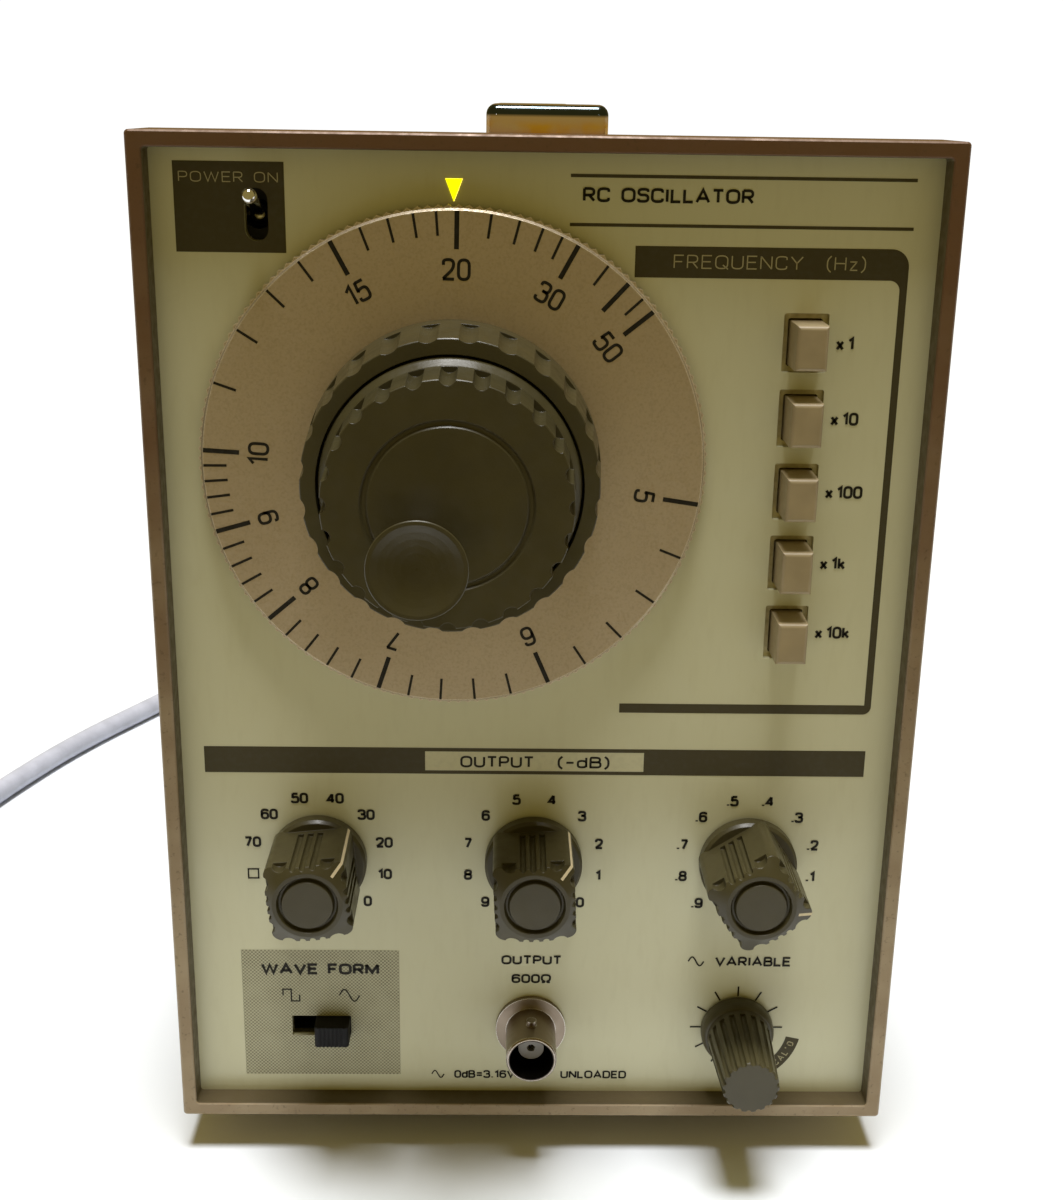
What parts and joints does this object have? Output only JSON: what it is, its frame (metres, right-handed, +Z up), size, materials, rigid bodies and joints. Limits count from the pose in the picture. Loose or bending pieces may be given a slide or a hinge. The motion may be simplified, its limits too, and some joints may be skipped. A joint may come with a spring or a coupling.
{
  "type": "function generator",
  "caption": "Portrait bench signal generator with a large tuning dial and crank knob, range push-buttons, stepped attenuator knobs, level knob, coaxial output, strap handle and mains lead.",
  "frame": {"origin": "on the table, under the centre of the instrument's box measured without its mains lead", "axes": "+Z up, +Y from the front panel into the case, +X to the right seen from the front"},
  "size_m": [0.328, 0.3545, 0.1982],
  "materials": {
    "frame_paint": "worn semi-gloss bronze-brown paint",
    "panel_paint": "satin light olive paint with dark olive printing",
    "zinc_steel": "dull zinc plate",
    "passivated_steel": "dull olive passivation",
    "cover_paint": "fine-textured dark brown paint",
    "plated_steel": "nickel-plated fasteners",
    "black_rubber": "matt",
    "bright_plating": "polished plating",
    "strap_plastic": "soft grained plastic over a steel band",
    "dial_metal": "satin champagne anodising",
    "knob_plastic": "moulded olive-brown plastic, semi-gloss",
    "brass": "turned",
    "pointer_plastic": "lit translucent yellow plastic",
    "lamp_glass": "clear bulb",
    "switch_plastic": "brown phenolic",
    "black_plastic": "moulded",
    "button_plastic": "moulded beige plastic",
    "nickel_plating": "warm nickel plate",
    "white_plastic": "fluoropolymer",
    "board_laminate": "epoxy-paper laminate",
    "component_plastic": "sleeved components",
    "core_steel": "varnished laminations",
    "spring_steel": "music wire",
    "cord_grey": "grey PVC"
  },
  "bodies": {
    "case": {"front_frame": "frame_paint", "front_panel": "panel_paint", "sub_panel": "passivated_steel", "chassis": "zinc_steel", "top_cover": "cover_paint", "bottom_cover": "cover_paint", "rear_panel": "cover_paint", "case_screws": "plated_steel", "feet": "black_rubber", "handle_end_caps": "bright_plating", "handle_strap": "strap_plastic", "vernier_drive_housing": "zinc_steel", "tuning_potentiometer": "zinc_steel", "pointer_lens": "pointer_plastic", "pilot_lamp": "lamp_glass", "rotary_switches": "switch_plastic", "level_potentiometer": "zinc_steel", "panel_nuts": "plated_steel", "pushbutton_switch_bank": "switch_plastic", "power_switch_body": "switch_plastic", "slide_switch_body": "black_plastic", "bnc_shell": "nickel_plating", "bnc_insulator": "white_plastic", "bnc_contact": "brass", "main_board": "board_laminate", "board_standoffs": "brass", "circuit_components": "component_plastic", "transformer": "core_steel", "fuse_holder": "black_plastic", "strain_relief": "cord_grey", "mains_cord": "cord_grey", "cord_coil": "cord_grey", "mains_plug": "cord_grey", "return_spring_1": "spring_steel", "return_spring_2": "spring_steel", "return_spring_3": "spring_steel", "return_spring_4": "spring_steel", "return_spring_5": "spring_steel"},
    "dial": {"dial_disc": "dial_metal", "coarse_knob": "knob_plastic", "tuning_shaft": "brass"},
    "fine_drive": {"fine_knob": "knob_plastic", "fine_shaft": "brass", "crank_pin": "plated_steel"},
    "spinner": {"crank_spinner": "knob_plastic"},
    "level_control": {"level_knob": "knob_plastic", "level_shaft": "brass"},
    "power_lever": {"power_toggle": "bright_plating"},
    "waveform_slide": {"slide_actuator": "black_plastic"},
    "attenuator_tens": {"attenuator_knob_tens": "knob_plastic", "attenuator_shaft_tens": "brass"},
    "attenuator_units": {"attenuator_knob_units": "knob_plastic", "attenuator_shaft_units": "brass"},
    "attenuator_tenths": {"attenuator_knob_tenths": "knob_plastic", "attenuator_shaft_tenths": "brass"},
    "range_button_1_body": {"range_button_1": "button_plastic"},
    "range_button_2_body": {"range_button_2": "button_plastic"},
    "range_button_3_body": {"range_button_3": "button_plastic"},
    "range_button_4_body": {"range_button_4": "button_plastic"},
    "range_button_5_body": {"range_button_5": "button_plastic"}
  },
  "joints": [
    {"name": "dial_turn", "type": "hinge", "parent": "case", "child": "dial", "pos_m": [-0.0156, -0.1023, 0.1383], "axis": [0, 1, 0], "range_deg": [-53, 260]},
    {"name": "fine_turn", "type": "hinge", "parent": "case", "child": "fine_drive", "pos_m": [-0.0156, -0.1304, 0.1383], "axis": [0, 1, 0], "range_deg": [-330, 1570]},
    {"name": "spinner_turn", "type": "hinge", "parent": "fine_drive", "child": "spinner", "pos_m": [-0.0199, -0.1336, 0.13085], "axis": [0, 1, 0], "continuous": true},
    {"name": "attenuator_tens_turn", "type": "hinge", "parent": "case", "child": "attenuator_tens", "pos_m": [-0.0411, -0.1036, 0.0618], "axis": [0, 1, 0], "range_deg": [-174, 96]},
    {"name": "attenuator_units_turn", "type": "hinge", "parent": "case", "child": "attenuator_units", "pos_m": [-0.0006, -0.1036, 0.0618], "axis": [0, 1, 0], "range_deg": [-177, 93]},
    {"name": "attenuator_tenths_turn", "type": "hinge", "parent": "case", "child": "attenuator_tenths", "pos_m": [0.0399, -0.1036, 0.0618], "axis": [0, 1, 0], "range_deg": [-237, 33]},
    {"name": "level_turn", "type": "hinge", "parent": "case", "child": "level_control", "pos_m": [0.0399, -0.1036, 0.0255], "axis": [0, 1, 0], "range_deg": [0, 285]},
    {"name": "power_toggle_tilt", "type": "hinge", "parent": "case", "child": "power_lever", "pos_m": [-0.0484, -0.0941, 0.18], "axis": [1, 0, 0], "range_deg": [0, 32]},
    {"name": "waveform_slide_travel", "type": "slide", "parent": "case", "child": "waveform_slide", "axis": [1, 0, 0], "range_m": [-0.0044, 0]},
    {"name": "range_button_1_press", "type": "slide", "parent": "case", "child": "range_button_1_body", "axis": [0, 1, 0], "range_m": [0, 0.0045], "stiffness_N_per_m": 150, "springref_m": -0.002, "deforming": ["return_spring_1"]},
    {"name": "range_button_2_press", "type": "slide", "parent": "case", "child": "range_button_2_body", "axis": [0, 1, 0], "range_m": [0, 0.0045], "stiffness_N_per_m": 150, "springref_m": -0.002, "deforming": ["return_spring_2"]},
    {"name": "range_button_3_press", "type": "slide", "parent": "case", "child": "range_button_3_body", "axis": [0, 1, 0], "range_m": [0, 0.0045], "stiffness_N_per_m": 150, "springref_m": -0.002, "deforming": ["return_spring_3"]},
    {"name": "range_button_4_press", "type": "slide", "parent": "case", "child": "range_button_4_body", "axis": [0, 1, 0], "range_m": [0, 0.0045], "stiffness_N_per_m": 150, "springref_m": -0.002, "deforming": ["return_spring_4"]},
    {"name": "range_button_5_press", "type": "slide", "parent": "case", "child": "range_button_5_body", "axis": [0, 1, 0], "range_m": [0, 0.0045], "stiffness_N_per_m": 150, "springref_m": -0.002, "deforming": ["return_spring_5"]}
  ],
  "couplings": [
    {"joint": "fine_turn", "follows": "dial_turn", "ratio": 6}
  ]
}
